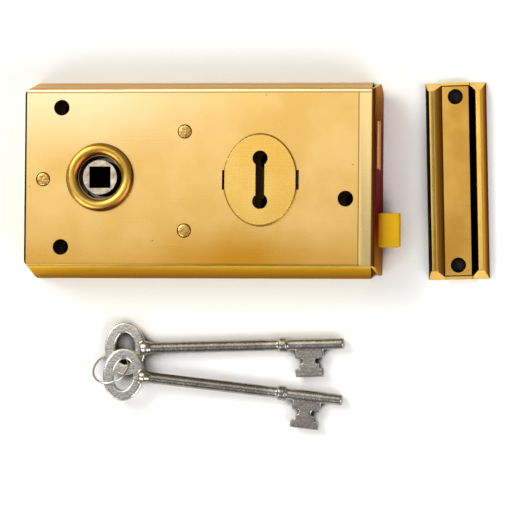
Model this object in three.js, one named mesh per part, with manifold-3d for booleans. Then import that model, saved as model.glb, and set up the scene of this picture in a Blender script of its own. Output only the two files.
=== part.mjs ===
// Rim sash lock in brass with its keep and two keys on a wire ring, laid flat.
// Millimetres. +X runs from the lock towards the keep, +Y runs up the lock,
// +Z points out of the lock's face. z = 0 is the back of the case and the table.

import * as THREE from "three";
import { mergeVertices } from "three/addons/utils/BufferGeometryUtils.js";
import { ConvexGeometry } from "three/addons/geometries/ConvexGeometry.js";
import Module from "manifold-3d";

const wasm = await Module();
wasm.setup();

// ---------------------------------------------------------------- dimensions

// Case: a folded brass cap over a flat steel back plate.
const CASE_LENGTH = 139.7;
const CASE_WIDTH = 77.2;
const CASE_DEPTH = 24;
const CASE_SLOPE = 3.8; // how far each long wall leans in over the full depth
const CASE_END_SLOPE = 1; // and the rear wall
const CAP_SHEET = 1.2;
const CAP_EDGE_RADIUS = 1.5;
const CAP_CORNER_RADIUS = 2.4; // upright corners at the rear
const FOREND_BEND_RADIUS = 1.6;
const FOREND_CREASE_X = 63.8; // the face dips very slightly from here to the bend
const FOREND_CREASE_DROP = 0.15;
const BACK_SHEET = 1.5;
const BACK_LENGTH = 136.6;
const BACK_WIDTH = 73.6;
const FIXING_HOLE = 6.2;
const FIXING_POINTS = [[-54.3, 27.3], [-54.3, -27.3], [58.2, -8.3]];

// Pillars between the back plate and the cap, and the rivets in their ends.
const PILLAR_DIAMETER = 5;
const PILLAR_POINTS = { rear: [-61.5, -0.75], lever: [-5.3, 17.9], latch: [-5.3, -20.8] };
const PILLAR_FOOT = 1.55;
const PILLAR_TOP = 22.75;
const PILLAR_SPIGOT = 3;
const PILLAR_BORE = 3.4;
const RIVET_HEAD = 4.8;
const RIVET_SHANK = 2.8;
const RIVET_SEAT = 5.4;

// Follower: the hub that the knob spindle turns.
const FOLLOWER = [-38.8, 0];
const HUB_RADIUS = 6.8;
const SPINDLE_SQUARE = 8.3;
const HORN_RADIUS = 14;
const HORN_HALF = 2.2;
const HORN_Z = [6.8, 10.3];
const HUB_FLANGES = [[1.9, 3.9], [11, 12.6]];
const COLLAR_BORE = 17.4;
const COLLAR_DIAMETER = 26.7;

// Latch bolt and its tail.
const LATCH_Y = [-26.65, -13.35];
const LATCH_Z = [4, 13];
const LATCH_OUT = 8.4; // how far the bolt stands out of the forend, and its travel
const LATCH_TIP = 3.7;
const LATCH_TAIL_Z = [7.3, 9.8];
const LATCH_SHOULDER_X = [50, 56];
const LATCH_SPRING_TURNS = 10;
const LATCH_SPRING_RADIUS = 2.3;
const LATCH_SPRING_WIRE = 0.8;
const LATCH_SPRING_STEPS = 10; // straight lengths to a turn

// Deadbolt, its tail, and the two levers over it.
const BOLT_Y = [3.9, 22.8];
const BOLT_Z = [9.4, 18.1];
const BOLT_END_X = 69.4;
const BOLT_THROW = 12;
const BOLT_TAIL_Z = [9.4, 12.3];
const STUMP = [28.5, 23.8];
const STUMP_SIDE = 3.2;
const KEY_AXIS = [24.7, 7.4];
const LEVERS = [
  { name: "lever_lower", z: [12.7, 14.5], belly: 12.6 },
  { name: "lever_upper", z: [14.9, 16.7], belly: 12.1 },
];

// Keyhole and the oval plate round it.
const KEYHOLE = [24.7, -1];
const KEYHOLE_REACH = 8.4;
const KEYHOLE_END = 6;
const KEYHOLE_SLOT = 3.5;
const ESCUTCHEON_SIZE = [29.5, 36.4];
const ESCUTCHEON_SHEET = 1.1;
const TAB_HEIGHT = 7;
const TAB_SHEET = 0.9;
const TAB_INSET = 0.75; // from the oval's widest points in to the tabs' outer faces
const TAB_SLOT_OUTER = 1.15; // how far each slot in the cap runs on past its tab

// Keep: two hollow ridges joined by a low web, and a flat floor plate lying on the web.
const KEEP_PLACE = { at: [99.1, -0.2, 0], turn: 1.5 };
const KEEP_HALF_WIDTH = 12;
const KEEP_HALF_LENGTH = 38.5;
const KEEP_HEIGHT = 5;
const KEEP_FOOT_HALF = 4.4;
const KEEP_SHEET = 1;
const KEEP_RIDGE = [8.5, 10];
const KEEP_END_SLOPE = 3.4;
const KEEP_LIP_HEIGHT = 2.9;
const KEEP_WEB = 1.2;
const KEEP_WEB_HOLE = 3.8;
const KEEP_FLOOR = { half: 5.2, reach: 37, z: [1.25, 2.5] };
const KEEP_SCREW_HOLE = 6;
const KEEP_SCREW_Y = [33, -33];

// Keys and ring.
const KEY_SHAFT = 4.5;
const KEY_LENGTH = 87.25; // from the middle of the bow to the tip
const KEY_COLLAR = { x: [61.2, 64.9], diameter: 6 };
const KEY_BOW = { half: [8.25, 10.5], hole: [3.85, 6.1], thick: 2.4 };
const KEY_BIT_SHEET = 2.4;
const KEY_BIT = [
  [67.7, 0], [78.9, 0], [78.9, -5.7], [75.5, -5.7], [75.5, -7.5], [76.9, -7.5], [76.9, -9.5],
  [78.9, -9.5], [78.9, -12.8], [67.7, -12.8], [67.7, -9.5], [69.4, -9.5], [69.4, -7.5],
  [70.6, -7.5], [70.6, -5.7], [67.7, -5.7],
];
const KEY_PLACES = {
  key_1: { at: [-31.87, -66.49, 3.3], turn: 1.63, dip: 0.22 },
  key_2: { at: [-31.92, -76.74, 6.28], turn: -6.27, dip: 2.58 },
};
const RING = { at: [-37.33, -74.29, 5.25], radius: 7.25, wire: 0.9, roll: -36.1, lean: -10, turn: 0.83 };

// ------------------------------------------------------------------ finishes

function finish(color, roughness, metalness) {
  return () => new THREE.MeshStandardMaterial({ color, roughness, metalness });
}

const lacqueredBrass = finish(0xd9b45a, 0.26, 1);
const satinBrass = finish(0xc9963c, 0.34, 1);
const platedSteel = finish(0xb08d4a, 0.4, 1);
const zincedSteel = finish(0xb9bcc0, 0.38, 1);
const springSteel = finish(0x6f747a, 0.35, 1);
const nickelPlate = finish(0xc9c6be, 0.28, 1);

// ------------------------------------------------------------ solid building

function toSolid(geometry) {
  const bare = new THREE.BufferGeometry();
  bare.setAttribute("position", geometry.getAttribute("position").clone());
  if (geometry.index) {
    bare.setIndex(geometry.index.clone());
  }
  const welded = mergeVertices(bare, 1e-5);
  return new wasm.Manifold(new wasm.Mesh({
    numProp: 3,
    vertProperties: new Float32Array(welded.getAttribute("position").array),
    triVerts: new Uint32Array(welded.index.array),
  }));
}

function toGeometry(solid) {
  const mesh = solid.getMesh();
  const geometry = new THREE.BufferGeometry();
  geometry.setAttribute("position", new THREE.BufferAttribute(new Float32Array(mesh.vertProperties), 3));
  geometry.setIndex(new THREE.BufferAttribute(new Uint32Array(mesh.triVerts), 1));
  geometry.computeVertexNormals();
  return geometry;
}

function join(...solids) {
  return solids.reduce((whole, piece) => whole.add(piece));
}

function cut(solid, ...tools) {
  return tools.reduce((left, tool) => left.subtract(tool), solid);
}

function node(name, solid, makeMaterial) {
  const mesh = new THREE.Mesh(toGeometry(solid), makeMaterial());
  mesh.name = name;
  return mesh;
}

// A box between two x, two y and two z values.
function slab([x0, x1], [y0, y1], [z0, z1]) {
  const box = new THREE.BoxGeometry(x1 - x0, y1 - y0, z1 - z0);
  box.translate((x0 + x1) / 2, (y0 + y1) / 2, (z0 + z1) / 2);
  return toSolid(box);
}

// An upright round bar.
function rod([x, y], diameter, [z0, z1], sides = 32) {
  const bar = new THREE.CylinderGeometry(diameter / 2, diameter / 2, z1 - z0, sides);
  bar.rotateX(Math.PI / 2);
  bar.translate(x, y, (z0 + z1) / 2);
  return toSolid(bar);
}

// An outline turned about an upright line: points are [radius, z].
function turned(points, [x, y], sides = 48) {
  const profile = points.map(([r, z]) => new THREE.Vector2(r, z));
  const lathe = new THREE.LatheGeometry(profile, sides);
  lathe.rotateX(Math.PI / 2);
  lathe.translate(x, y, 0);
  return toSolid(lathe);
}

function outline(points, holes = []) {
  const shape = new THREE.Shape(points.map(([x, y]) => new THREE.Vector2(x, y)));
  for (const hole of holes) {
    shape.holes.push(new THREE.Path(hole.map(([x, y]) => new THREE.Vector2(x, y))));
  }
  return shape;
}

// A flat outline in X and Y given thickness between two z values.
function plate(shape, [z0, z1]) {
  const geometry = new THREE.ExtrudeGeometry(shape, { depth: z1 - z0, bevelEnabled: false });
  geometry.translate(0, 0, z0);
  return toSolid(geometry);
}

// An outline in Y and Z drawn out along X.
function alongX(points, [x0, x1]) {
  const geometry = new THREE.ExtrudeGeometry(outline(points), { depth: x1 - x0, bevelEnabled: false });
  const turn = new THREE.Matrix4().makeBasis(
    new THREE.Vector3(0, 1, 0), new THREE.Vector3(0, 0, 1), new THREE.Vector3(1, 0, 0));
  geometry.applyMatrix4(turn);
  geometry.translate(x0, 0, 0);
  return toSolid(geometry);
}

// An outline in X and Z drawn out along Y.
function alongY(points, [y0, y1]) {
  const geometry = new THREE.ExtrudeGeometry(outline(points), { depth: y1 - y0, bevelEnabled: false });
  const turn = new THREE.Matrix4().makeBasis(
    new THREE.Vector3(1, 0, 0), new THREE.Vector3(0, 0, 1), new THREE.Vector3(0, -1, 0));
  geometry.applyMatrix4(turn);
  geometry.translate(0, y1, 0);
  return toSolid(geometry);
}

function arc([cx, cy], radius, fromDegrees, toDegrees, steps) {
  const points = [];
  for (let i = 0; i <= steps; i += 1) {
    const angle = THREE.MathUtils.degToRad(fromDegrees + ((toDegrees - fromDegrees) * i) / steps);
    points.push([cx + radius * Math.cos(angle), cy + radius * Math.sin(angle)]);
  }
  return points;
}

function ellipse([cx, cy], [a, b], steps) {
  return arc([0, 0], 1, 0, 360 - 360 / steps, steps - 1).map(([x, y]) => [cx + a * x, cy + b * y]);
}

// A straight slot with round ends, lying along X.
function stadium([x0, x1], y, radius) {
  return [...arc([x1, y], radius, -90, 90, 12), ...arc([x0, y], radius, 90, 270, 12)];
}

// The double-ended keyhole: two rounds joined by an upright slot.
function keyholeCutter(clearance, z) {
  const [x, y] = KEYHOLE;
  const half = KEYHOLE_SLOT / 2 + clearance;
  const ends = [KEYHOLE_REACH, -KEYHOLE_REACH];
  const rounds = ends.map((offset) => rod([x, y + offset], KEYHOLE_END + 2 * clearance, z));
  return join(slab([x - half, x + half], [y - KEYHOLE_REACH, y + KEYHOLE_REACH], z), ...rounds);
}

function fixingCutters(z) {
  return FIXING_POINTS.map((point) => rod(point, FIXING_HOLE, z));
}

// ----------------------------------------------------------------- the case

function halfWidthAt(z) {
  return CASE_WIDTH / 2 - (CASE_SLOPE * z) / CASE_DEPTH;
}

function capOuter() {
  const top = halfWidthAt(CASE_DEPTH);
  const right = [
    [CASE_WIDTH / 2, 0],
    ...arc([top - CAP_EDGE_RADIUS * 0.8, CASE_DEPTH - CAP_EDGE_RADIUS], CAP_EDGE_RADIUS, 9, 90, 5),
  ];
  const left = right.map(([y, z]) => [-y, z]).reverse();
  const end = CASE_LENGTH / 2;
  const face = CASE_DEPTH - FOREND_CREASE_DROP;
  const profile = [
    [-end, 0], [end, 0],
    ...arc([end - FOREND_BEND_RADIUS, face - FOREND_BEND_RADIUS], FOREND_BEND_RADIUS, 0, 90, 5),
    [FOREND_CREASE_X, CASE_DEPTH], [CASE_END_SLOPE - end, CASE_DEPTH],
  ];
  const lengthways = alongX([...right, ...left], [-end, end]);
  return lengthways
    .intersect(alongY(profile, [-CASE_WIDTH, CASE_WIDTH]))
    .intersect(roundedRear());
}

// A block that clears every wall and rounds off only the two upright rear corners.
function roundedRear() {
  const clear = 0.02;
  const radius = CAP_CORNER_RADIUS;
  const corners = [];
  for (const z of [-clear, CASE_DEPTH + clear]) {
    const rear = (CASE_END_SLOPE * z) / CASE_DEPTH - CASE_LENGTH / 2 - clear;
    const side = halfWidthAt(z) + clear;
    const sweep = arc([rear + radius, side - radius], radius, 90, 180, 5);
    for (const [x, y] of [...sweep, [CASE_LENGTH, side]]) {
      corners.push(new THREE.Vector3(x, y, z), new THREE.Vector3(x, -y, z));
    }
  }
  return toSolid(new ConvexGeometry(corners));
}

function capInner() {
  const top = CASE_DEPTH - CAP_SHEET;
  const low = halfWidthAt(-1) - CAP_SHEET;
  const high = halfWidthAt(top) - CAP_SHEET;
  const end = CASE_LENGTH / 2 - CAP_SHEET;
  const across = alongX([[low, -1], [high, top], [-high, top], [-low, -1]], [-end, end]);
  const along = [[-end, -2], [end + 1, -2], [end + 1, CASE_DEPTH], [CASE_END_SLOPE - end, CASE_DEPTH], [-end, 0]];
  return across.intersect(alongY(along, [-CASE_WIDTH, CASE_WIDTH]));
}

// Open corners beside the forend, and the forend's own trimmed outline.
function forendTrim() {
  const inside = CASE_LENGTH / 2 - CAP_SHEET;
  const relief = [[inside, -1], [inside, 23.2], [inside - 0.45, 23.2], [inside - 3.4, -1]];
  const flange = [
    [34.5, 25], [36, 20], [37.4, 11], [37.4, 7.5], [34, 1.2], [-36.6, 1.2], [-37.4, 2.2],
    [-37.4, 18], [-36.4, 21.5], [-34.5, 25],
  ];
  const around = slab([inside, CASE_LENGTH], [-50, 50], [-1, 23.2]);
  return [
    alongY(relief, [33.4, 50]),
    alongY(relief, [-50, -33.4]),
    around.subtract(alongX(flange, [0, CASE_LENGTH * 2])),
  ];
}

function boltMouths() {
  const through = [CASE_LENGTH / 2 - 3, CASE_LENGTH];
  return [
    slab(through, [BOLT_Y[0] - 0.4, BOLT_Y[1] + 0.4], [BOLT_Z[0] - 0.4, BOLT_Z[1] + 0.4]),
    slab(through, [LATCH_Y[0] - 0.35, LATCH_Y[1] + 0.35], [LATCH_Z[0] - 0.4, LATCH_Z[1] + 0.4]),
  ];
}

// The two tabs of the escutcheon, or the slots that they go through.
function escutcheonTabs(clearance, outer, z) {
  const [x, y] = KEYHOLE;
  const face = ESCUTCHEON_SIZE[0] / 2 - TAB_INSET;
  const up = TAB_HEIGHT / 2 + clearance;
  return [-1, 1].map((side) => {
    const near = x + side * (face - TAB_SHEET - clearance);
    const far = x + side * (face + outer);
    return slab([Math.min(near, far), Math.max(near, far)], [y - up, y + up], z);
  });
}

function caseCap() {
  const through = [20, 30];
  const heads = Object.values(PILLAR_POINTS);
  return cut(
    capOuter().subtract(capInner()),
    ...forendTrim(),
    ...boltMouths(),
    ...fixingCutters(through),
    ...heads.map((point) => rod(point, PILLAR_BORE, through)),
    ...heads.map((point) => rod(point, RIVET_SEAT, [23.2, 30])),
    rod(FOLLOWER, COLLAR_BORE - 0.4, through, 48),
    keyholeCutter(0.4, through),
    ...escutcheonTabs(0.35, TAB_SLOT_OUTER, through),
  );
}

function backPlate() {
  const through = [-1, 3];
  return cut(
    slab([-BACK_LENGTH / 2, BACK_LENGTH / 2], [-BACK_WIDTH / 2, BACK_WIDTH / 2], [0, BACK_SHEET]),
    ...fixingCutters(through),
    ...Object.values(PILLAR_POINTS).map((point) => rod(point, PILLAR_SPIGOT + 0.5, through)),
    rod(FOLLOWER, HUB_RADIUS * 2 + 0.6, through, 48),
    keyholeCutter(0.4, through),
  );
}

function followerCollar() {
  const bore = COLLAR_BORE / 2;
  const rim = COLLAR_DIAMETER / 2;
  const foot = CASE_DEPTH + 0.05;
  const ring = [
    [bore, foot], [rim, foot], [rim, foot + 0.45], [rim - 0.3, foot + 1], [rim - 0.9, foot + 1.55],
    [rim - 1.7, foot + 2.05], [rim - 2.6, foot + 2.4], [rim - 3.5, foot + 2.55],
    [bore + 0.35, foot + 2.45], [bore, foot + 2.1], [bore, foot],
  ];
  return turned(ring, FOLLOWER, 56);
}

function keyholeEscutcheon() {
  const [x, y] = KEYHOLE;
  const foot = CASE_DEPTH + 0.05;
  const top = foot + ESCUTCHEON_SHEET;
  const half = ESCUTCHEON_SIZE.map((size) => size / 2);
  const profile = [[0, foot], [1, foot], [1, foot + 0.6], [0.965, top], [0, top]];
  const disc = new THREE.LatheGeometry(profile.map(([r, z]) => new THREE.Vector2(r, z)), 64);
  disc.rotateX(Math.PI / 2);
  disc.scale(half[0], half[1], 1);
  disc.translate(x, y, 0);
  const oval = toSolid(disc);
  const trims = [-1, 1].map((side) => {
    const inner = x + side * (half[0] - TAB_INSET);
    const outer = x + side * (half[0] + 1);
    const up = TAB_HEIGHT / 2 + 0.35;
    return slab([Math.min(inner, outer), Math.max(inner, outer)], [y - up, y + up], [foot - 1, top + 1]);
  });
  return join(
    cut(oval, keyholeCutter(0, [20, 30]), ...trims),
    ...escutcheonTabs(0, 0, [CASE_DEPTH - 2.6, foot + 0.7]),
  );
}

function pillar(point) {
  return cut(
    join(
      rod(point, PILLAR_DIAMETER, [PILLAR_FOOT, PILLAR_TOP]),
      rod(point, PILLAR_SPIGOT, [0.1, PILLAR_FOOT + 1]),
    ),
    rod(point, PILLAR_BORE, [17, 30]),
  );
}

function capRivet(point) {
  const head = RIVET_HEAD / 2;
  return turned([
    [0, 18], [RIVET_SHANK / 2, 18], [RIVET_SHANK / 2, 23.3], [head, 23.3], [head, 23.85],
    [head - 0.25, 24.1], [head - 0.9, 24.25], [0, 24.3],
  ], point, 32);
}

// ------------------------------------------------------- follower and latch

function follower() {
  const [x, y] = FOLLOWER;
  const half = SPINDLE_SQUARE / 2;
  return cut(
    join(
      rod(FOLLOWER, HUB_RADIUS * 2, [0.4, 24.4], 48),
      ...HUB_FLANGES.map((z) => rod(FOLLOWER, 17, z, 48)),
      slab([x - HORN_HALF, x + HORN_HALF], [y - HORN_RADIUS, y + HORN_RADIUS], HORN_Z),
    ),
    slab([x - half, x + half], [y - half, y + half], [-1, 30]),
  );
}

function latchHead() {
  const tip = CASE_LENGTH / 2 + LATCH_OUT;
  const [low, high] = LATCH_Z;
  const [back, front] = LATCH_SHOULDER_X;
  const profile = [
    [back, low], [tip - 7.6, low], [tip, high - LATCH_TIP], [tip, high - 0.4], [tip - 0.4, high],
    [front, high], [front, 16], [back, 16],
  ];
  const seat = slab([back - 1, 57.4], [-23.2, -16.8], [LATCH_TAIL_Z[0] - 0.1, LATCH_TAIL_Z[1] + 0.1]);
  return alongY(profile, LATCH_Y).subtract(seat);
}

function latchTail() {
  const bar = [
    [57, -17], [14, -17], [10, -15.4], [-14, -15.4], [-16, -15.8], [-41.7, -15.8], [-41.7, -8.6],
    [-46.5, -8.6], [-46.5, 8.6], [-41.7, 8.6], [-41.7, 14], [-50.2, 14], [-50.2, -22.4],
    [-16, -22.4], [-12, -26.2], [10, -26.2], [14, -23], [57, -23],
  ].reverse();
  const [x, y] = PILLAR_POINTS.latch;
  const slot = stadium([x, x + LATCH_OUT], y, PILLAR_DIAMETER / 2 + 0.4);
  return plate(outline(bar, [slot]), LATCH_TAIL_Z);
}

// A coil drawn as one closed wire: rings of points joined in order, capped at both ends.
function latchSpring() {
  const start = PILLAR_POINTS.latch[0] + PILLAR_DIAMETER / 2 + 0.4;
  const finishX = LATCH_SHOULDER_X[0] - 0.4;
  const steps = LATCH_SPRING_TURNS * LATCH_SPRING_STEPS;
  const sides = 5;
  const wire = LATCH_SPRING_WIRE / 2;
  const y = PILLAR_POINTS.latch[1];
  const z = LATCH_TAIL_Z[1] + LATCH_SPRING_RADIUS + LATCH_SPRING_WIRE;
  const length = finishX - start - LATCH_SPRING_WIRE;
  const points = [];
  for (let i = 0; i <= steps; i += 1) {
    const turn = (i / LATCH_SPRING_STEPS) * Math.PI * 2;
    const x = start + wire + (length * i) / steps;
    for (let j = 0; j < sides; j += 1) {
      const around = (j / sides) * Math.PI * 2;
      const reach = LATCH_SPRING_RADIUS + wire * Math.cos(around);
      points.push(x + wire * Math.sin(around), y + reach * Math.cos(turn), z + reach * Math.sin(turn));
    }
  }
  const faces = [];
  for (let i = 0; i < steps; i += 1) {
    for (let j = 0; j < sides; j += 1) {
      const a = i * sides + j;
      const b = i * sides + ((j + 1) % sides);
      faces.push(a, a + sides, b, b, a + sides, b + sides);
    }
  }
  const last = steps * sides;
  for (let j = 1; j < sides - 1; j += 1) {
    faces.push(0, j, j + 1);
    faces.push(last, last + j + 1, last + j);
  }
  const coil = new THREE.BufferGeometry();
  coil.setAttribute("position", new THREE.Float32BufferAttribute(points, 3));
  coil.setIndex(faces);
  return toSolid(coil);
}

// ------------------------------------------------------ deadbolt and levers

function deadboltHead() {
  const blank = slab([50, BOLT_END_X], BOLT_Y, BOLT_Z);
  return blank.subtract(slab([49, 57.4], [7.6, 21.4], [BOLT_Z[0] - 1, BOLT_TAIL_Z[1] + 0.05]));
}

function deadboltTail() {
  const bar = [
    [57, 8], [57, 21], [49.6, 21], [48, 27], [6, 27], [2, 23.4], [-23, 23.4], [-23, 12.6],
    [-1, 12.6], [3, 20.6], [10, 20.6], [10, 16], [15.2, 16], [15.2, 21.5], [21.2, 21.5],
    [21.2, 16], [26.4, 16], [26.4, 20.6], [44, 20.6], [47, 8],
  ];
  const [x, y] = PILLAR_POINTS.lever;
  const slot = stadium([x - BOLT_THROW, x], y, PILLAR_DIAMETER / 2 + 0.4);
  const seat = arc(STUMP, 1.3, 0, 345, 23);
  return plate(outline(bar, [slot, seat]), BOLT_TAIL_Z);
}

function boltStump() {
  const half = STUMP_SIDE / 2;
  const [x, y] = STUMP;
  return join(
    slab([x - half, x + half], [y - half, y + half], [12.35, 17.4]),
    rod(STUMP, 2, [9.6, 13], 16),
  );
}

function leverPlate({ z, belly }) {
  const [x, y] = PILLAR_POINTS.lever;
  const body = [
    ...arc([x, y], 5.5, 90, 270, 14),
    [2, 12.4], [8, 17],
    ...arc(KEY_AXIS, belly, 128, 58, 10),
    [47, 18], [47, 31.5], [12, 31.5], [2, 24.5],
  ].reverse();
  const eye = arc([x, y], PILLAR_DIAMETER / 2 + 0.3, 0, 348, 29);
  const [low, gate, pocket] = [21.9, 25.7, 29.1];
  const gating = [
    [25.8, low], [43.9, low], [43.9, pocket], [37.7, pocket], [37.7, gate], [31.3, gate],
    [31.3, pocket], [25.8, pocket],
  ];
  return plate(outline(body, [eye, gating]), z);
}

function leverSpring({ z }) {
  const path = [[4.4, 27], [0, 29.6], [-8, 32], [-18, 33.2]];
  const thick = 0.5;
  const back = path.map(([x, y]) => [x + 0.1, y - thick]).reverse();
  return plate(outline([...back, ...path]), [z[0] + 0.2, z[1] - 0.2]);
}

// ----------------------------------------------------------------- the keep

// One solid with a ridge and four sloping sides, between two distances from the middle line.
function ridgeSolid(side, grow, bottom, top) {
  const [inner, outer] = [KEEP_FOOT_HALF - grow, KEEP_HALF_WIDTH + grow];
  const crest = [KEEP_RIDGE[0] - grow * 0.3, KEEP_RIDGE[1] + grow * 0.3];
  const corners = [];
  for (const end of [-1, 1]) {
    for (const u of [inner, outer]) {
      corners.push(new THREE.Vector3(side * u, end * (KEEP_HALF_LENGTH + grow), bottom));
    }
    for (const u of crest) {
      const y = end * (KEEP_HALF_LENGTH - KEEP_END_SLOPE + grow * 0.4);
      corners.push(new THREE.Vector3(side * u, y, top));
    }
    const shoulder = top - 0.45;
    for (const u of [crest[0] - 0.75, crest[1] + 0.6]) {
      const y = end * (KEEP_HALF_LENGTH - KEEP_END_SLOPE + 0.5 + grow * 0.4);
      corners.push(new THREE.Vector3(side * u, y, shoulder));
    }
  }
  return toSolid(new ConvexGeometry(corners));
}

function keepShell() {
  const ridges = [-1, 1].map((side) => ridgeSolid(side, 0, 0, KEEP_HEIGHT));
  const hollows = [-1, 1].map((side) => ridgeSolid(side, -KEEP_SHEET, -0.01, KEEP_HEIGHT - KEEP_SHEET));
  const across = [-KEEP_FOOT_HALF - 0.6, KEEP_FOOT_HALF + 0.6];
  const web = slab(across, [1 - KEEP_HALF_LENGTH, KEEP_HALF_LENGTH - 1], [0, KEEP_WEB]);
  const lips = [-1, 1].map((end) => {
    const outer = end * KEEP_HALF_LENGTH;
    const inner = end * (KEEP_HALF_LENGTH - 1.1);
    const width = [across[0] - 0.6, across[1] + 0.6];
    return slab(width, [Math.min(inner, outer), Math.max(inner, outer)], [0, KEEP_LIP_HEIGHT]);
  });
  const holes = KEEP_SCREW_Y.map((y) => rod([0, y], KEEP_WEB_HOLE, [-1, 3]));
  return cut(join(...ridges, web, ...lips), ...hollows, ...holes);
}

function keepFloor() {
  const { half, reach, z } = KEEP_FLOOR;
  const holes = KEEP_SCREW_Y.map((y) => rod([0, y], KEEP_SCREW_HOLE, [-1, 5]));
  return cut(slab([-half, half], [-reach, reach], z), ...holes);
}

// The keep lies loose beside the case, a little askew.
function placedKeep(name, solid) {
  const mesh = node(name, solid, lacqueredBrass);
  mesh.rotation.z = THREE.MathUtils.degToRad(KEEP_PLACE.turn);
  mesh.position.set(...KEEP_PLACE.at);
  return mesh;
}

// ------------------------------------------------------------ keys and ring

function keySolid() {
  const { half, hole, thick } = KEY_BOW;
  const bevel = 0.5;
  const rim = ellipse([0, 0], half.map((size) => size - bevel), 40);
  const eye = ellipse([0, 0], hole.map((size) => size + bevel), 28);
  const bow = new THREE.ExtrudeGeometry(outline(rim, [eye]), {
    depth: thick - 2 * bevel, bevelEnabled: true, bevelSize: bevel, bevelThickness: bevel, bevelSegments: 1,
  });
  bow.translate(0, 0, -thick / 2 + bevel);
  const bar = (radii, sides) => {
    const lathe = new THREE.LatheGeometry(radii.map(([r, x]) => new THREE.Vector2(r, x)), sides);
    lathe.rotateZ(-Math.PI / 2);
    return toSolid(lathe);
  };
  const r = KEY_SHAFT / 2;
  const [c0, c1] = KEY_COLLAR.x;
  const collar = KEY_COLLAR.diameter / 2;
  const shaft = bar([[0, 6.2], [r, 6.2], [r, KEY_LENGTH - 0.6], [r - 0.6, KEY_LENGTH], [0, KEY_LENGTH]], 24);
  const band = bar([
    [0, c0], [r, c0], [collar, c0 + 0.6], [collar, c1 - 0.6], [r, c1], [0, c1],
  ], 24);
  const shoulder = bar([[0, 6.4], [2.6, 6.4], [2.9, 8.4], [r, 10.6], [0, 10.6]], 24);
  const bit = plate(outline(KEY_BIT), [-KEY_BIT_SHEET / 2, KEY_BIT_SHEET / 2]);
  return join(toSolid(bow), shaft, band, shoulder, bit);
}

function placedKey(name) {
  const { at, turn, dip } = KEY_PLACES[name];
  const key = node(name, keySolid(), nickelPlate);
  key.rotation.order = "ZYX";
  key.rotation.z = THREE.MathUtils.degToRad(turn);
  key.rotation.y = THREE.MathUtils.degToRad(dip);
  key.position.set(...at);
  return key;
}

function keyRing() {
  const torus = new THREE.TorusGeometry(RING.radius, RING.wire / 2, 8, 48);
  const ring = node("key_ring", toSolid(torus), nickelPlate);
  const [roll, lean, turn] = [RING.roll, RING.lean, RING.turn].map(THREE.MathUtils.degToRad);
  ring.rotation.set(roll, lean, turn, "ZXY");
  ring.position.set(...RING.at);
  return ring;
}

// ------------------------------------------------------------- the assembly

const lock = new THREE.Group();
lock.name = "rim_lock_set";

lock.add(
  node("case_cap", caseCap(), lacqueredBrass),
  node("back_plate", backPlate(), platedSteel),
  node("follower_collar", followerCollar(), lacqueredBrass),
  node("keyhole_escutcheon", keyholeEscutcheon(), lacqueredBrass),
);

for (const [place, point] of Object.entries(PILLAR_POINTS)) {
  lock.add(
    node(`pillar_${place}`, pillar(point), zincedSteel),
    node(`cap_rivet_${place}`, capRivet(point), satinBrass),
  );
}

lock.add(
  node("follower", follower(), zincedSteel),
  node("latch_head", latchHead(), satinBrass),
  node("latch_tail", latchTail(), zincedSteel),
  node("latch_spring", latchSpring(), springSteel),
  node("deadbolt_head", deadboltHead(), satinBrass),
  node("deadbolt_tail", deadboltTail(), zincedSteel),
  node("bolt_stump", boltStump(), zincedSteel),
);

for (const lever of LEVERS) {
  lock.add(
    node(lever.name, leverPlate(lever), satinBrass),
    node(lever.name.replace("lever", "lever_spring"), leverSpring(lever), springSteel),
  );
}

lock.add(
  placedKeep("keep_shell", keepShell()),
  placedKeep("keep_floor", keepFloor()),
  placedKey("key_1"),
  placedKey("key_2"),
  keyRing(),
);

export default lock;
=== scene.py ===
import math

import bmesh
import bpy
from mathutils import Matrix, Vector


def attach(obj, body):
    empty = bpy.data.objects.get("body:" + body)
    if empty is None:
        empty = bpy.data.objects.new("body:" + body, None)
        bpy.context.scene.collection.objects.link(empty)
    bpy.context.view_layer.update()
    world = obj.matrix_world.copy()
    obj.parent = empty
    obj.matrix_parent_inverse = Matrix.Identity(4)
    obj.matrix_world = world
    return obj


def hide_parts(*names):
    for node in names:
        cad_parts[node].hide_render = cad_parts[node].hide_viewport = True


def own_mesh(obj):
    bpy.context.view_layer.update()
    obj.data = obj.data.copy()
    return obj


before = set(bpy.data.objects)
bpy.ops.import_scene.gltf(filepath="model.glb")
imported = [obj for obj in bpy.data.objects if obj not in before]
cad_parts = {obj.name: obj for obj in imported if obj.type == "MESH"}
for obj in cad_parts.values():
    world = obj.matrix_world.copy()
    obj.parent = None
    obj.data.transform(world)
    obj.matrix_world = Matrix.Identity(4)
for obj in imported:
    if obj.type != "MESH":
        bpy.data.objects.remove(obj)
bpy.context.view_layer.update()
MM = 0.001


# ------------------------------------------------------------ Table and light
# The lock, its keep and the keys lie on a plain pale table under a wide soft
# box, with the main one at the rear left, two fills in front and a dim room.

def hex_colour(text):
    """An sRGB hex value as the linear colour that a shader takes."""
    channels = [int(text[i:i + 2], 16) / 255 for i in (1, 3, 5)]
    return [c / 12.92 if c <= 0.04045 else ((c + 0.055) / 1.055) ** 2.4 for c in channels] + [1.0]


def put(tree, kind, inputs=None, **settings):
    """Adds a node with its settings, then its values and links."""
    new = tree.nodes.new(kind)
    for key, value in settings.items():
        setattr(new, key, value)
    for key, value in (inputs or {}).items():
        if isinstance(value, bpy.types.NodeSocket):
            tree.links.new(value, new.inputs[key])
        else:
            new.inputs[key].default_value = value
    return new


def start_material(name):
    """An empty material, its tree, and the place on the piece in Object coordinates."""
    material = bpy.data.materials.new(name)
    material.use_nodes = True
    tree = material.node_tree
    tree.nodes.clear()
    place = put(tree, "ShaderNodeTexCoord").outputs["Object"]
    return material, tree, place


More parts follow.
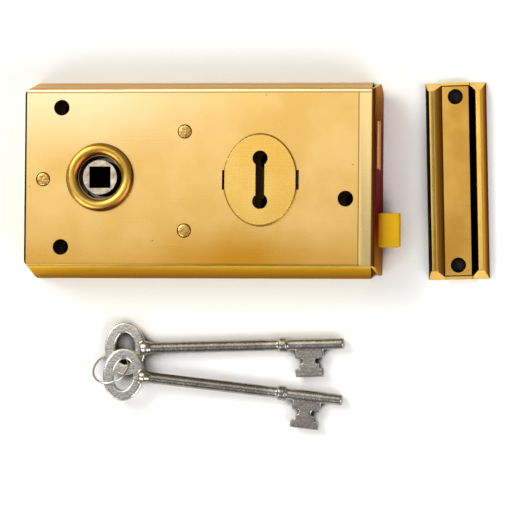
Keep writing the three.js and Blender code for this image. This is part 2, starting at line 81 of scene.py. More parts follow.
def blend(tree, mask, under, over):
    """One colour over another where the mask is 1."""
    return put(tree, "ShaderNodeMix", {0: mask, 6: under, 7: over}, data_type="RGBA").outputs[2]


def step_between(tree, value, low, high):
    """0 at the first value, 1 at the second, with a soft step between them."""
    return put(tree, "ShaderNodeMapRange", {"Value": value, "From Min": low, "From Max": high},
               interpolation_type="SMOOTHSTEP").outputs[0]


def calc(tree, operation, *terms):
    """One sum on values, the terms in the node's own order."""
    return put(tree, "ShaderNodeMath", dict(enumerate(terms)), operation=operation).outputs[0]


def both(tree, first, second):
    """The part that two masks share."""
    return calc(tree, "MULTIPLY", first, second)


def split(tree, vector):
    """The X, Y and Z of a vector."""
    return put(tree, "ShaderNodeSeparateXYZ", {0: vector}).outputs


def noise(tree, place, scale, detail, roughness=0.5):
    """Soft noise between 0 and 1, its scale in cycles a metre."""
    return put(tree, "ShaderNodeTexNoise", {
        "Vector": place, "Scale": scale, "Detail": detail, "Roughness": roughness}).outputs["Fac"]


# Where the keep hides the table and the card gets painted shade, as its middle and half sizes.
KEEP_SHADE_X, KEEP_SHADE_Y = (99.0, 6.0), (0.0, 37.5)


def inside_span(tree, value, span):
    """1 within a half size of a middle, both in millimetres, with a 1 mm soft edge."""
    middle, half = span
    rise = step_between(tree, value, (middle - half) * MM, (middle - half + 1) * MM)
    return both(tree, rise, step_between(tree, value, (middle + half) * MM, (middle + half - 1) * MM))


def matt_table_card():
    """Matt white card: even, with a faint tooth, and with painted shade: near black only
    at the bottom of deep holes and under the keep, where hardly any light gets in."""
    material, tree, place = start_material("matt_table_card")
    white = blend(tree, noise(tree, place, 900.0, 3.0), hex_colour("#F6F6F5"), hex_colour("#FCFCFB"))
    open_sky = put(tree, "ShaderNodeAmbientOcclusion", {"Distance": 0.05}, samples=16).outputs["AO"]
    x, y, _ = split(tree, place)
    under_keep = both(tree, inside_span(tree, x, KEEP_SHADE_X), inside_span(tree, y, KEEP_SHADE_Y))
    # Painted shade: the card turns near black where the occlusion mask finds little open sky, and does so more
    # readily under the keep.
    outside_painted_shade = step_between(tree, calc(tree, "MULTIPLY_ADD", under_keep, -0.36, open_sky), 0.3, 0.46)
    card = put(tree, "ShaderNodeBsdfPrincipled", {
        "Base Color": blend(tree, outside_painted_shade, hex_colour("#0A0908"), white), "Roughness": 0.9})
    put(tree, "ShaderNodeOutputMaterial", {"Surface": card.outputs[0]})
    return material


def new_piece(name, mesh, material):
    """A mesh as an object at the origin, with one material."""
    mesh.materials.clear()
    mesh.materials.append(material)
    piece = bpy.data.objects.new(name, mesh)
    bpy.context.scene.collection.objects.link(piece)
    return piece


table_mesh = bpy.data.meshes.new("table")
TABLE_TOP = -0.0002
table_corners = [(x, y, TABLE_TOP) for x, y in ((-3, -3), (3, -3), (3, 3), (-3, 3))]
table_mesh.from_pydata(table_corners, [], [(0, 1, 2, 3)])
new_piece("table", table_mesh, matt_table_card())


def soft_box(name, at, aim, size, watts, tint):
    """A rectangular soft box at one point, aimed at another."""
    data = bpy.data.lights.new(name, "AREA")
    data.shape = "RECTANGLE"
    data.size, data.size_y = size
    data.energy = watts
    data.color = hex_colour(tint)[:3]
    lamp = bpy.data.objects.new(name, data)
    lamp.location = at
    lamp.rotation_euler = (Vector(aim) - Vector(at)).to_track_quat("-Z", "Y").to_euler()
    bpy.context.scene.collection.objects.link(lamp)


soft_box("overhead_box", (-0.35, 0.41, 1.0), (-0.35, 0.41, 0), (0.9, 0.8), 2.4, "#FFFDF8")
soft_box("rear_left_box", (-1.55, 1.25, 1.8), (0, 0, 0), (1.6, 1.3), 40.0, "#FFFFFF")
soft_box("front_right_box", (1.5, -1.2, 1.7), (0, 0, 0), (1.6, 1.3), 36.0, "#FFFFFF")
soft_box("front_left_box", (-1.3, -1.4, 1.7), (0, 0, 0), (1.3, 1.3), 20.0, "#FFFFFF")

room = bpy.data.worlds.new("room")
room.use_nodes = True
room.node_tree.nodes.clear()
sky = put(room.node_tree, "ShaderNodeTexCoord").outputs["Generated"]
glow = put(room.node_tree, "ShaderNodeMapRange", {
    "Value": split(room.node_tree, sky)["Z"], "From Min": -0.1, "From Max": 0.9, "To Min": 0.12, "To Max": 0.3})
wall = put(room.node_tree, "ShaderNodeBackground", {
    "Color": hex_colour("#FFFFFF"), "Strength": glow.outputs[0]})
put(room.node_tree, "ShaderNodeOutputWorld", {"Surface": wall.outputs[0]})
bpy.context.scene.world = room
bpy.context.scene.view_settings.view_transform = "Standard"

# A long lens, a little to the right of the lock and below it.
VIEW_FROM = Vector((0.1603, -0.0406, 1.0))
VIEW_ROLL = math.radians(0.134)
VIEW_DISTANCE = 2.2
VIEW_CENTRE = Vector((19.41, -29.7, 0)) * MM
VIEW_WIDTH = 201.5 * MM
lens = bpy.data.cameras.new("camera")
lens.lens = 36.0 * VIEW_DISTANCE / VIEW_WIDTH
lens.clip_end = 20.0
camera = bpy.data.objects.new("camera", lens)
back = VIEW_FROM.normalized()
right = (Vector((1, 0, 0)) - back * back.x).normalized()
turn = Matrix((right, back.cross(right), back)).transposed().to_4x4()
stand = Matrix.Translation(VIEW_CENTRE + back * VIEW_DISTANCE)
camera.matrix_world = stand @ turn @ Matrix.Rotation(VIEW_ROLL, 4, "Z")
bpy.context.scene.collection.objects.link(camera)
bpy.context.scene.camera = camera


# ------------------------------------------------------------------ Case cap
# The cap is one sheet of brass, folded down on four sides; its right-hand
# flange is the forend. It is polished with a straight grain, then lacquered.

def taken_mesh(holder):
    """The plain mesh that an object's modifiers make, the object then thrown away."""
    mesh = bpy.data.meshes.new_from_object(holder.evaluated_get(bpy.context.evaluated_depsgraph_get()))
    bpy.data.objects.remove(holder)
    return mesh


def eased_mesh(node, radius, segments=2, keep_flat=0.6):
    """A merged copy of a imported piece, its sharp edges eased to a radius in millimetres."""
    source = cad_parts[node].data
    work = bmesh.new()
    work.from_mesh(source)
    bmesh.ops.remove_doubles(work, verts=work.verts, dist=2e-6)
    bmesh.ops.dissolve_limit(
        work, angle_limit=math.radians(keep_flat), verts=work.verts, edges=work.edges)
    mesh = bpy.data.meshes.new(node + "_eased")
    work.to_mesh(mesh)
    work.free()
    mesh.materials.clear()
    mesh.shade_smooth()
    holder = bpy.data.objects.new(node + "_work", mesh)
    bpy.context.scene.collection.objects.link(holder)
    bevel = holder.modifiers.new("ease", "BEVEL")
    bevel.width = radius * MM
    bevel.segments = segments
    bevel.limit_method = "ANGLE"
    bevel.angle_limit = math.radians(32)
    bevel.use_clamp_overlap = True
    bevel.harden_normals = False
    flats = holder.modifiers.new("flats", "WEIGHTED_NORMAL")
    flats.weight = 90
    flats.keep_sharp = True
    return taken_mesh(holder)


def smooth_to(mesh, degrees):
    """Smooth shading over every edge flatter than an angle."""
    mesh.shade_smooth()
    mesh.set_sharp_from_angle(angle=math.radians(degrees))
    return mesh


def relief(tree, height, strength, depth):
    """Fine relief from a height between 0 and 1, its depth in metres."""
    return put(tree, "ShaderNodeBump", {"Height": height, "Strength": strength, "Distance": depth}).outputs[0]


def finish_metal(tree, colour, roughness, normal, more=None):
    """Ends a metal's tree with its colour, its dullness and its relief."""
    metal = put(tree, "ShaderNodeBsdfPrincipled", {
        "Base Color": colour, "Metallic": 1.0, "Roughness": roughness, "Normal": normal, **(more or {})})
    put(tree, "ShaderNodeOutputMaterial", {"Surface": metal.outputs[0]})


def lacquered_brass(name, pale, deep, roughness, grain, painted_light=None):
    """Polished sheet brass under clear lacquer: gold, with fine straight lines
    left by the belt, soft cloudy patches, and a few tiny dark pits. Belt lines
    are about 0.05 mm wide; they are drawn 0.3 mm wide to show."""
    material, tree, place = start_material(name)
    along = put(tree, "ShaderNodeMapping", {"Vector": place, "Scale": (18.0, 3300.0, 3300.0)}).outputs[0]
    lines = noise(tree, along, 1.0, 4.0, 0.7)
    cloud = noise(tree, place, 38.0, 3.0, 0.55)
    colour = blend(tree, step_between(tree, cloud, 0.35, 0.65), hex_colour(deep), hex_colour(pale))
    streak = calc(tree, "MULTIPLY", step_between(tree, lines, 0.42, 0.2), 0.35)
    colour = blend(tree, streak, colour, hex_colour(deep))
    tint, worn = hex_colour("#FFFFFF"), 0.0
    # The optional function lays painted light and shade over the colour and the specular tint, and may add
    # roughness.
    if painted_light:
        colour, tint, worn = painted_light(tree, place, colour)
    pit = put(tree, "ShaderNodeTexVoronoi", {"Vector": place, "Scale": 110.0}).outputs["Distance"]
    colour = blend(tree, step_between(tree, pit, 0.035, 0.015), colour, hex_colour("#5B3A12"))
    dull = calc(tree, "MULTIPLY_ADD", lines, 0.16, roughness - 0.08)
    dull = calc(tree, "MULTIPLY_ADD", noise(tree, place, 1300.0, 2.0), 0.06, dull)
    dull = calc(tree, "MULTIPLY_ADD", worn, 0.3, dull)
    finish_metal(tree, colour, dull, relief(tree, lines, grain, 0.00002), {
        "Specular Tint": tint, "Coat Weight": 0.04 if painted_light else 0.25, "Coat Roughness": 0.08})
    return material


def bands(tree, value, stops):
    """Colours laid side by side along a value, each stop a position and a hex colour."""
    colour = hex_colour(stops[0][1])
    for (low, _), (high, shade) in zip(stops, stops[1:]):
        colour = blend(tree, step_between(tree, value, low, high), colour, hex_colour(shade))
    return colour


CAP_TOP = 24.0
RIVET_PLACES = [(-61.5, -0.75), (-5.3, 17.9), (-5.3, -20.8)]


def cap_painted_light(tree, place, colour):
    """Painted light and shade on the cap: a painted highlight at the rear top,
    painted deep gold low in the middle, painted pale strips and darker crease lines
    at the right and top edges, painted shade in the rivets' seats and on the rear
    edge, painted brown and gold bands on the steep sides and the fold, and a
    painted red-brown reflection on the forend."""
    x, y, z = split(tree, place)
    facing = split(tree, put(tree, "ShaderNodeTexCoord").outputs["Normal"])
    shifted = put(tree, "ShaderNodeVectorMath", {0: place, 1: (-0.016, 0.033, 0.0)}, operation="ADD")
    oval = put(tree, "ShaderNodeVectorMath", {
        0: shifted.outputs[0], 1: (22.0, 52.0, 0.0)}, operation="MULTIPLY").outputs[0]
    reach = put(tree, "ShaderNodeVectorMath", {0: oval}, operation="LENGTH").outputs["Value"]
    ragged = calc(tree, "MULTIPLY_ADD", noise(tree, place, 55.0, 4.0), 0.5, reach)
    # Painted highlight: paler at the rear top of the face.
    painted_highlight_rear_top = both(tree, step_between(tree, y, 0.0, 0.034), step_between(tree, x, 0.03, -0.05))
    colour = blend(tree, painted_highlight_rear_top, colour, hex_colour("#FFE6B2"))
    # Painted shade: deeper gold low on the face, and in a ragged patch low in the middle.
    colour = blend(tree, step_between(tree, y, -0.014, -0.046), colour, hex_colour("#DDA440"))
    colour = blend(tree, step_between(tree, ragged, 1.25, 0.3), colour, hex_colour("#D2962B"))
    # Painted highlight: a pale strip on the bent right-hand end of the face, with a painted darker crease line
    # beside it.
    colour = blend(tree, step_between(tree, x, 0.0634, 0.0637), colour, hex_colour("#FCDB96"))
    painted_crease_shade_right = both(tree, step_between(tree, x, 0.06295, 0.0631), step_between(tree, x, 0.0636, 0.06345))
    colour = blend(tree, painted_crease_shade_right, colour, hex_colour("#B78A45"))
    # Painted highlight: a pale strip along the top edge, with a painted darker crease line below it.
    colour = blend(tree, step_between(tree, y, 0.0336, 0.0338), colour, hex_colour("#FFF0BE"))
    painted_crease_shade_top = both(tree, step_between(tree, y, 0.0329, 0.0331), step_between(tree, y, 0.0336, 0.0334))
    colour = blend(tree, painted_crease_shade_top, colour, hex_colour("#C3A266"))
    # Painted shade: dark brown in each rivet's seat round the head.
    for across, up in RIVET_PLACES:
        seat = (across * MM, up * MM, CAP_TOP * MM)
        away = put(tree, "ShaderNodeVectorMath", {0: place, 1: seat}, operation="DISTANCE").outputs["Value"]
        colour = blend(tree, step_between(tree, away, 0.0029, 0.00272), colour, hex_colour("#45230C"))
    # Painted shade: near black along the rounded rear edge of the face.
    painted_dark_rear_edge = both(tree, step_between(tree, x, -0.068, -0.0683), step_between(tree, z, 0.0225, 0.0232))
    colour = blend(tree, painted_dark_rear_edge, colour, hex_colour("#1A0E06"))
    # Painted light and shade: bands by height on the steep side facing the rear.
    painted_upper_side_bands = bands(tree, z, [
        (0.0, "#EBCE94"), (0.0065, "#EBCE94"), (0.008, "#94724A"), (0.0095, "#EBC898"),
        (0.018, "#EBC898"), (0.022, "#DCB26C")])
    # Painted light and shade: bands by height on the steep side facing the front.
    painted_lower_side_bands = bands(tree, z, [
        (0.0, "#B99208"), (0.004, "#B99208"), (0.013, "#CDA60E"), (0.019, "#DCB428"), (0.0235, "#ECCB70")])
    # Painted reflection: red-brown in the middle of the forend, olive gold towards its ends.
    front = bands(tree, calc(tree, "ABSOLUTE", y), [
        (0.0, "#9E0A0C"), (0.016, "#9E0A0C"), (0.028, "#B4820A"), (0.038, "#C9953E")])
    # Painted shade: darker brown where the face turns down into the forend.
    painted_fold_shade = bands(tree, x, [(0.0, "#F0C878"), (0.068, "#F0C878"), (0.0686, "#7A4A1E"), (0.0696, "#5A2E12")])
    steep_up = step_between(tree, facing[1], 0.45, 0.75)
    steep_low = step_between(tree, facing[1], -0.45, -0.75)
    steep_front = step_between(tree, facing[0], 0.8, 0.95)
    turning = both(tree, step_between(tree, x, 0.0679, 0.0682), step_between(tree, z, 0.019, 0.0205))
    colour = blend(tree, turning, colour, painted_fold_shade)
    # The painted colours on the steep faces also tint their reflections.
    tint = hex_colour("#FFFFFF")
    for mask, shade in ((steep_up, painted_upper_side_bands), (steep_low, painted_lower_side_bands), (steep_front, front)):
        colour = blend(tree, mask, colour, shade)
        tint = blend(tree, mask, tint, shade)
    return colour, tint, 0.0


belt_grained_brass = lacquered_brass(
    "cap_brass_lacquered_painted_light", "#F4CB7E", "#EBBE6A", 0.27, 0.5, cap_painted_light)
cap = new_piece("cap", eased_mesh("case_cap", 0.18), belt_grained_brass)
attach(cap, "case")
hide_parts("case_cap")


# ---------------------------------------------------------------- Back plate
# A flat steel plate closes the back. It is brass plated without polishing,
# so it stays duller and browner than the cap.

def plated_steel(name, pale, deep, roughness, grit_mm):
    """Plated or zinc-passivated steel: an even film over faint rolling texture,
    with cloudy tone and a slightly uneven shine."""
    material, tree, place = start_material(name)
    grit = noise(tree, place, 1.0 / (grit_mm * MM), 3.0)
    colour = blend(tree, noise(tree, place, 90.0, 2.0), hex_colour(deep), hex_colour(pale))
    dull = calc(tree, "MULTIPLY_ADD", grit, 0.2, roughness - 0.1)
    finish_metal(tree, colour, dull, relief(tree, grit, 0.35, 0.00003))
    return material


def refinish(node, material):
    """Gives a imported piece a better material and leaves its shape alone."""
    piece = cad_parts[node]
    piece.data.materials.clear()
    piece.data.materials.append(material)


brass_plated_steel = plated_steel("brass_plated_rolled_steel", "#B8955A", "#947242", 0.42, 0.5)
refinish("back_plate", brass_plated_steel)


# ----------------------------------------------------------- Follower collar
# A turned brass ring, polished to a broad round, stands round the knob
# spindle's hole and is pressed against the cap.

def turned_mesh(name, profile, centre, sides):
    """A closed outline of radius and height in millimetres, spun about an upright line."""
    work = bmesh.new()
    rings = []
    for i in range(sides):
        along = Vector((math.cos(2 * math.pi * i / sides), math.sin(2 * math.pi * i / sides), 0))
        rings.append([work.verts.new((Vector((*centre, z)) + along * r) * MM) for r, z in profile])
    for i in range(sides):
        here, there = rings[i], rings[(i + 1) % sides]
        for j in range(len(profile)):
            k = (j + 1) % len(profile)
            work.faces.new((here[j], there[j], there[k], here[k]))
    bmesh.ops.remove_doubles(work, verts=work.verts, dist=1e-7)
    bmesh.ops.recalc_face_normals(work, faces=work.faces)
    mesh = bpy.data.meshes.new(name)
    work.to_mesh(mesh)
    work.free()
    return mesh


FOLLOWER_CENTRE = (-38.8, 0.0)
COLLAR_FOOT = 24.05
COLLAR_BORE = 8.7
COLLAR_MIDDLE = 11.025
COLLAR_RIM = 13.35
COLLAR_WALL = 1.05
COLLAR_STEPS = 20
collar_outline = [(COLLAR_BORE, COLLAR_FOOT), (COLLAR_RIM, COLLAR_FOOT)]
for step in range(COLLAR_STEPS + 1):
    across = 1 - 2 * step / COLLAR_STEPS
    crown = 1.0 * (1 - across ** 2) + 0.45 * (1 - across ** 8)
    collar_outline.append((
        COLLAR_MIDDLE + (COLLAR_RIM - COLLAR_MIDDLE) * across, COLLAR_FOOT + COLLAR_WALL + crown))


def collar_painted_light(tree, place, colour):
    """Painted shade on the collar: the wall towards the spindle almost black, the
    side facing the lower right red-brown, and the outer rim darker brown."""
    hub_line = (-FOLLOWER_CENTRE[0] * MM, -FOLLOWER_CENTRE[1] * MM, 0.0)
    shifted = put(tree, "ShaderNodeVectorMath", {0: place, 1: hub_line}, operation="ADD").outputs[0]
    level = put(tree, "ShaderNodeVectorMath", {0: shifted, 1: (1.0, 1.0, 0.0)}, operation="MULTIPLY").outputs[0]
    radius = put(tree, "ShaderNodeVectorMath", {0: level}, operation="LENGTH").outputs["Value"]
    wall = step_between(tree, radius, 0.00885, 0.00875)
    normal = put(tree, "ShaderNodeTexCoord").outputs["Normal"]
    # Painted shade: red-brown on the side facing the lower right.
    facing_lower_right = put(tree, "ShaderNodeVectorMath", {0: normal, 1: (0.6, -0.8, 0.0)}, operation="DOT_PRODUCT")
    painted_shade_lower_right = step_between(tree, facing_lower_right.outputs["Value"], 0.12, 0.5)
    colour = blend(tree, painted_shade_lower_right, colour, hex_colour("#8A4E1C"))
    # Painted shade: darker brown round the outer rim.
    colour = blend(tree, step_between(tree, radius, 0.01305, 0.0132), colour, hex_colour("#5A3510"))
    # Painted shade: the bore wall near black, in colour and specular tint alike.
    colour = blend(tree, wall, colour, hex_colour("#2A0C0A"))
    return colour, blend(tree, wall, hex_colour("#FFFFFF"), hex_colour("#2A0C0A")), 0.0


mirror_brass = lacquered_brass("turned_brass_polished_painted_shade", "#DDB055", "#C4923A", 0.3, 0.1, collar_painted_light)
collar_mesh = turned_mesh("collar", collar_outline, FOLLOWER_CENTRE, 128)
collar = new_piece("collar", smooth_to(collar_mesh, 50), mirror_brass)
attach(collar, "case")
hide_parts("follower_collar")


# --------------------------------------------------------- Keyhole escutcheon
# An oval brass plate with two tabs, which go through slots in the cap and are
# turned over inside. Its double-ended hole takes the key either way up.

plate_brass = lacquered_brass("pressed_brass_polished", "#F5CA6C", "#EDBE5A", 0.24, 0.15)
escutcheon = new_piece("escutcheon", eased_mesh("keyhole_escutcheon", 0.25, 3), plate_brass)
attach(escutcheon, "case")
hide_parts("keyhole_escutcheon")


# -------------------------------------------------------- Pillars and rivets
# Three steel pillars stand on the back plate. A brass rivet goes through the
# cap into each one; its head sits in a shallow seat and is peened flat by hand.

zinc_plated_steel = plated_steel("zinc_plated_steel", "#D2D4D6", "#A9ACB0", 0.36, 0.35)
for place in ("rear", "lever", "latch"):
    refinish("pillar_" + place, zinc_plated_steel)


def cast_brass(name, pale, deep, roughness, grain_mm):
    """Satin brass, drawn or cast and wiped: deeper gold than the sheet, with
    small dull pits and darker patches where the lacquer has pooled."""
    material, tree, place = start_material(name)
    grain = noise(tree, place, 1.0 / (grain_mm * MM), 4.0, 0.6)
    colour = blend(tree, noise(tree, place, 260.0, 2.0), hex_colour(deep), hex_colour(pale))
    dull = calc(tree, "MULTIPLY_ADD", grain, 0.22, roughness - 0.11)
    finish_metal(tree, colour, dull, relief(tree, grain, 0.5, 0.00004))
    return material


def new_tree(name, inputs):
    """A geometry tree with named inputs, and its input node."""
    tree = bpy.data.node_groups.new(name, "GeometryNodeTree")
    for label, kind in inputs:
        tree.interface.new_socket(label, in_out="INPUT", socket_type="NodeSocket" + kind)
    tree.interface.new_socket("Result", in_out="OUTPUT", socket_type="NodeSocketGeometry")
    return tree, put(tree, "NodeGroupInput").outputs


def finish_tree(tree, shape, finish):
    """Ends a geometry tree: real geometry with one material."""
    whole = put(tree, "GeometryNodeRealizeInstances", {"Geometry": shape})
    coat = put(tree, "GeometryNodeSetMaterial", {"Geometry": whole.outputs[0], "Material": finish})
    put(tree, "NodeGroupOutput", {0: coat.outputs[0]})


def made_by(tree, name, values, points=()):
    """The plain mesh that a geometry tree makes from named values and points
    in millimetres."""
    start = bpy.data.meshes.new(name + "_points")
    start.from_pydata([[c * MM for c in point] for point in points], [], [])
    holder = bpy.data.objects.new(name + "_work", start)
    bpy.context.scene.collection.objects.link(holder)
    modifier = holder.modifiers.new("maker", "NODES")
    modifier.node_group = tree
    for item in tree.interface.items_tree:
        if item.in_out == "INPUT" and item.name in values:
            modifier[item.identifier] = values[item.name]
    mesh = taken_mesh(holder)
    mesh.name = name
    return mesh


RIVET_MIDDLE = 23.8


def rivet_tree():
    """A shank under a round head at each point, the top of the head dimpled by the hammer."""
    tree, given = new_tree("rivets", [
        ("Points", "Geometry"), ("Head radius", "Float"), ("Head depth", "Float"), ("Shank radius", "Float"),
        ("Shank length", "Float"), ("Dimple depth", "Float"), ("Finish", "Material")])
    head = put(tree, "GeometryNodeMeshCylinder", {
        "Vertices": 48, "Side Segments": 3, "Fill Segments": 9,
        "Radius": given["Head radius"], "Depth": given["Head depth"]})
    shank = put(tree, "GeometryNodeMeshCylinder", {
        "Vertices": 24, "Radius": given["Shank radius"], "Depth": given["Shank length"]})
    half_head = calc(tree, "MULTIPLY", given["Head depth"], -0.5)
    drop = calc(tree, "MULTIPLY_ADD", given["Shank length"], -0.5, half_head)
    hung = put(tree, "GeometryNodeTransform", {
        0: shank.outputs["Mesh"], "Translation": put(tree, "ShaderNodeCombineXYZ", {"Z": drop}).outputs[0]})
    place = put(tree, "GeometryNodeInputPosition").outputs[0]
    x, y, z = split(tree, place)
    flat = put(tree, "ShaderNodeCombineXYZ", {"X": x, "Y": y}).outputs[0]
    out = put(tree, "ShaderNodeVectorMath", {0: flat}, operation="LENGTH").outputs["Value"]
    curve = calc(tree, "POWER", calc(tree, "DIVIDE", out, given["Head radius"]), 5.0)
    fall = put(tree, "ShaderNodeCombineXYZ", {"Z": calc(tree, "MULTIPLY", curve, -0.0002)}).outputs[0]
    on_top = put(tree, "FunctionNodeCompare", {0: z, 1: 0.00035}, operation="GREATER_THAN").outputs[0]
    domed = put(tree, "GeometryNodeSetPosition", {
        "Geometry": head.outputs["Mesh"], "Selection": on_top, "Offset": fall})
    both_parts = put(tree, "GeometryNodeJoinGeometry")
    tree.links.new(domed.outputs[0], both_parts.inputs[0])
    tree.links.new(hung.outputs[0], both_parts.inputs[0])
    stood = put(tree, "GeometryNodeInstanceOnPoints", {
        "Points": given["Points"], "Instance": both_parts.outputs[0]})
    real = put(tree, "GeometryNodeRealizeInstances", {"Geometry": stood.outputs[0]})
    dent = calc(tree, "SUBTRACT", noise(tree, place, 1500.0, 1.0), 0.7)
    depth = calc(tree, "MULTIPLY", dent, given["Dimple depth"])
    high = put(tree, "FunctionNodeCompare", {0: z, 1: RIVET_MIDDLE * MM}, operation="GREATER_THAN").outputs[0]
    peened = put(tree, "GeometryNodeSetPosition", {
        "Geometry": real.outputs[0], "Selection": high,
        "Offset": put(tree, "ShaderNodeCombineXYZ", {"Z": depth}).outputs[0]})
    finish_tree(tree, peened.outputs[0], given["Finish"])
    return tree


rivet_brass = cast_brass("peened_rivet_brass", "#F1C879", "#A8731F", 0.3, 0.5)
rivet_mesh = made_by(rivet_tree(), "rivets", {
    "Head radius": 2.38 * MM, "Head depth": 0.95 * MM, "Shank radius": 1.4 * MM, "Shank length": 5.2 * MM,
    "Dimple depth": 0.3 * MM, "Finish": rivet_brass,
}, [(*spot, RIVET_MIDDLE) for spot in RIVET_PLACES])
rivets = new_piece("rivets", smooth_to(rivet_mesh, 50), rivet_brass)
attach(rivets, "case")
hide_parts("cap_rivet_rear", "cap_rivet_lever", "cap_rivet_latch")


# ------------------------------------------------------------------ Follower
# The zinc plated steel hub that the knob spindle turns. It has a square hole
# through it and two horns that push the latch back.

def worn_hub_steel_painted_shade(name):
    """Pressed steel, zinc plated and handled: warm and mottled on its flat
    face, with painted shade making every upright wall almost black."""
    material, tree, place = start_material(name)
    upwards = split(tree, put(tree, "ShaderNodeTexCoord").outputs["Normal"])[2]
    mottle = noise(tree, place, 420.0, 4.0, 0.65)
    face = blend(tree, step_between(tree, mottle, 0.3, 0.7), hex_colour("#A3927E"), hex_colour("#E2D6C2"))
    # Painted shade: every upright wall goes almost black, in colour and specular tint.
    upright = step_between(tree, upwards, 0.6, 0.2)
    colour = blend(tree, upright, face, hex_colour("#0E0A09"))
    dull = calc(tree, "MULTIPLY_ADD", noise(tree, place, 2200.0, 2.0), 0.2, 0.28)
    finish_metal(tree, colour, dull, relief(tree, mottle, 0.5, 0.00008), {
        "Specular Tint": blend(tree, upright, hex_colour("#FFFFFF"), hex_colour("#1A1210"))})
    return material


hub = new_piece("hub", eased_mesh("follower", 0.2), worn_hub_steel_painted_shade("zinc_plated_hub_worn_painted_shade"))
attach(hub, "follower")
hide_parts("follower")


# --------------------------------------------------------------- Latch bolt
# A drawn brass bolt, bevelled on the door side, riveted to a steel tail. The
# coil behind it sits against the latch pillar and pushes it out.

bolt_brass = cast_brass("drawn_bolt_brass_satin", "#FFCC2C", "#F0B41C", 0.34, 0.3)
latch = new_piece("latch_bolt", eased_mesh("latch_head", 0.35, 3), bolt_brass)
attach(latch, "latch")
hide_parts("latch_head")
refinish("latch_tail", zinc_plated_steel)

spring_steel = plated_steel("oiled_spring_steel", "#7C8085", "#54585C", 0.34, 0.3)
for node in ("lever_spring_lower", "lever_spring_upper"):
    refinish(node, spring_steel)


def coil_tree():
    """A coil of round wire standing on its end."""
    tree, given = new_tree("coil", [
        ("Turns", "Float"), ("Coil radius", "Float"), ("Wire radius", "Float"), ("Length", "Float"),
        ("Finish", "Material")])
    line = put(tree, "GeometryNodeCurveSpiral", {
        "Resolution": 28, "Rotations": given["Turns"], "Start Radius": given["Coil radius"],
        "End Radius": given["Coil radius"], "Height": given["Length"]})
    section = put(tree, "GeometryNodeCurvePrimitiveCircle", {"Resolution": 10, "Radius": given["Wire radius"]})
    wire = put(tree, "GeometryNodeCurveToMesh", {
        "Curve": line.outputs[0], "Profile Curve": section.outputs["Curve"], "Fill Caps": True})
    finish_tree(tree, wire.outputs["Mesh"], given["Finish"])
    return tree


COIL_FOOT = Vector((-2.0, -20.8, 12.9))
COIL_LENGTH = 51.2
coil_mesh = made_by(coil_tree(), "coil", {
    "Turns": 10.0, "Coil radius": 2.25 * MM, "Wire radius": 0.38 * MM, "Length": COIL_LENGTH * MM,
    "Finish": spring_steel})
coil_mesh.transform(Matrix.Translation(COIL_FOOT * MM) @ Matrix.Rotation(math.radians(90), 4, "Y"))
coil = new_piece("latch_coil", smooth_to(coil_mesh, 60), spring_steel)
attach(coil, "case")
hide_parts("latch_spring")
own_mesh(coil)


# -------------------------------------------------------- Deadbolt and levers
# The deadbolt's brass head is riveted to a steel tail that the key moves. Two
# brass levers over the tail let its stump pass when they are lifted.

deadbolt = new_piece("deadbolt", eased_mesh("deadbolt_head", 0.3, 3), bolt_brass)
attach(deadbolt, "deadbolt")
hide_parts("deadbolt_head")
for node in ("deadbolt_tail", "bolt_stump"):
    refinish(node, zinc_plated_steel)
lever_brass = cast_brass("stamped_lever_brass", "#DDB25C", "#B98B3A", 0.4, 0.5)
for node in ("lever_lower", "lever_upper"):
    refinish(node, lever_brass)


# ---------------------------------------------------------------------- Keep
# The keep is pressed from brass sheet into two ridges with mitred ends, joined
# by a web. A flat brass plate lies on the web, held down by two wood screws.

def keep_painted_light(tree, place, colour):
    """Painted light and shade on the keep: the crests and ends keep the plain
    brass colour, the sides towards the lock are painted black, the other sides
    painted brown to gold by height, and the web painted dark."""
    z = split(tree, place)[2]
    facing = split(tree, put(tree, "ShaderNodeTexCoord").outputs["Normal"])
    # Painted shade: sides facing the lock go black; sides facing away get painted bands, brown low and gold
    # high.
    towards = step_between(tree, facing[0], -0.3, -0.55)
    away = step_between(tree, facing[0], 0.3, 0.6)
    # Painted shade: the up-facing web low in the trough goes near black.
    painted_dark_web = both(tree, step_between(tree, z, 0.0019, 0.0013), step_between(tree, facing[2], 0.6, 0.8))
    side = bands(tree, z, [(0.0012, "#7C4A18"), (0.0024, "#A06C22"), (0.0036, "#B98832"), (0.0046, "#DDAC4C")])
    tint = hex_colour("#FFFFFF")
    for mask, shade in ((away, side), (towards, hex_colour("#0C0908")), (painted_dark_web, hex_colour("#120C08"))):
        colour = blend(tree, mask, colour, shade)
        tint = blend(tree, mask, tint, shade)
    return colour, tint, away


keep_brass = lacquered_brass("folded_brass_polished_painted_shade", "#F5CA6C", "#E8B64E", 0.2, 0.3, keep_painted_light)
keep = new_piece("keep_pressing", eased_mesh("keep_shell", 0.3, 3), keep_brass)
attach(keep, "keep")
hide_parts("keep_shell")
floor_brass = lacquered_brass("strip_brass_brushed", "#E2B152", "#CC9838", 0.27, 0.5)
keep_floor = new_piece("keep_floor_plate", eased_mesh("keep_floor", 0.12), floor_brass)
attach(keep_floor, "keep")
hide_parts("keep_floor")


# ---------------------------------------------------------------------- Keys
# Two cast keys with oval bows, a turned collar and stepped bits, tumbled and
# nickel plated, so their edges are soft and their flats a little lumpy.

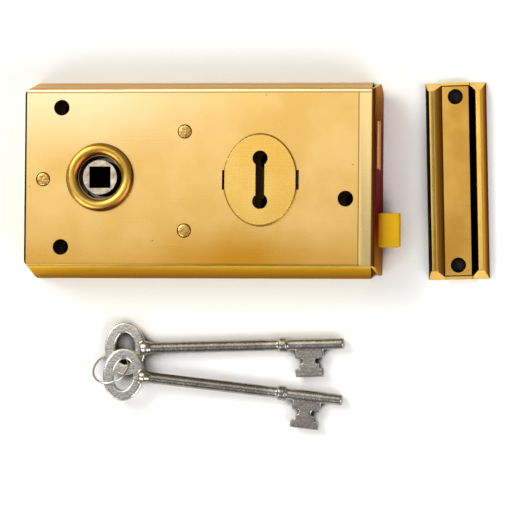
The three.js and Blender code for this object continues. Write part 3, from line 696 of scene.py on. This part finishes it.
def tumbled_mesh(node, voxel, rounds):
    """A copy of a packed casting, rebuilt at a voxel size in millimetres and
    smoothed, which rounds its corners as tumbling does."""
    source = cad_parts[node].data
    work = bmesh.new()
    work.from_mesh(source)
    bmesh.ops.remove_doubles(work, verts=work.verts, dist=2e-6)
    bmesh.ops.scale(work, vec=(1000, 1000, 1000), verts=work.verts)
    mesh = bpy.data.meshes.new(node + "_cast")
    work.to_mesh(mesh)
    work.free()
    holder = bpy.data.objects.new(node + "_work", mesh)
    bpy.context.scene.collection.objects.link(holder)
    rebuild = holder.modifiers.new("rebuild", "REMESH")
    rebuild.mode = "VOXEL"
    rebuild.voxel_size = voxel
    rebuild.use_smooth_shade = True
    soften = holder.modifiers.new("soften", "SMOOTH")
    soften.factor = 0.5
    soften.iterations = rounds
    result = taken_mesh(holder)
    result.transform(Matrix.Scale(MM, 4))
    result.shade_smooth()
    return result


def nickel_on_casting(name):
    """Bright nickel over a tumbled casting: white metal with a warm cast, a
    lumpy skin about 0.8 mm across and fine pits, bright on the bow where it is
    handled and greyer along the shaft."""
    material, tree, place = start_material(name)
    lumps = noise(tree, place, 900.0, 3.0, 0.6)
    pits = put(tree, "ShaderNodeTexVoronoi", {"Vector": place, "Scale": 1600.0}).outputs["Distance"]
    colour = blend(tree, noise(tree, place, 240.0, 3.0), hex_colour("#857F76"), hex_colour("#CCC7BE"))
    x = split(tree, place)[0]
    shaft = both(tree, step_between(tree, x, -0.025, -0.021), step_between(tree, x, 0.027, 0.022))
    bow = step_between(tree, x, -0.024, -0.028)
    colour = blend(tree, calc(tree, "MULTIPLY", shaft, 0.45), colour, hex_colour("#5C5750"))
    colour = blend(tree, calc(tree, "MULTIPLY", bow, 0.5), colour, hex_colour("#F2EFE9"))
    skin = calc(tree, "MULTIPLY_ADD", pits, 0.4, lumps)
    dull = calc(tree, "MULTIPLY_ADD", lumps, 0.25, 0.12)
    finish_metal(tree, colour, dull, relief(tree, skin, 0.6, 0.0001))
    return material


cast_nickel = nickel_on_casting("nickel_plated_casting")
for name in ("key_1", "key_2"):
    key = new_piece(name + "_casting", tumbled_mesh(name, 0.28, 4), cast_nickel)
    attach(key, name)
    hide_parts(name)


# ------------------------------------------------------------------ Key ring
# A ring of bright steel wire, closed and nickel plated, through both bows.

RING_CENTRE = Vector((-37.33, -74.29, 5.25))
RING_ROLL, RING_LEAN, RING_TURN = (math.radians(angle) for angle in (-36.1, -10.0, 0.83))


def hoop_tree():
    """A hoop of round wire."""
    tree, given = new_tree("hoop", [
        ("Ring radius", "Float"), ("Wire radius", "Float"), ("Finish", "Material")])
    line = put(tree, "GeometryNodeCurvePrimitiveCircle", {"Resolution": 128, "Radius": given["Ring radius"]})
    section = put(tree, "GeometryNodeCurvePrimitiveCircle", {"Resolution": 20, "Radius": given["Wire radius"]})
    wire = put(tree, "GeometryNodeCurveToMesh", {
        "Curve": line.outputs["Curve"], "Profile Curve": section.outputs["Curve"]})
    finish_tree(tree, wire.outputs["Mesh"], given["Finish"])
    return tree


bright_wire = plated_steel("nickel_plated_wire", "#DEDCD6", "#B5B3AE", 0.22, 0.5)
ring_mesh = made_by(hoop_tree(), "ring_wire", {
    "Ring radius": 7.25 * MM, "Wire radius": 0.45 * MM, "Finish": bright_wire})
ring_tilt = Matrix.Rotation(RING_ROLL, 4, "X") @ Matrix.Rotation(RING_LEAN, 4, "Y")
ring_mesh.transform(Matrix.Translation(RING_CENTRE * MM) @ Matrix.Rotation(RING_TURN, 4, "Z") @ ring_tilt)
ring_mesh.shade_smooth()
ring = new_piece("ring_wire", ring_mesh, bright_wire)
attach(ring, "ring")
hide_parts("key_ring")
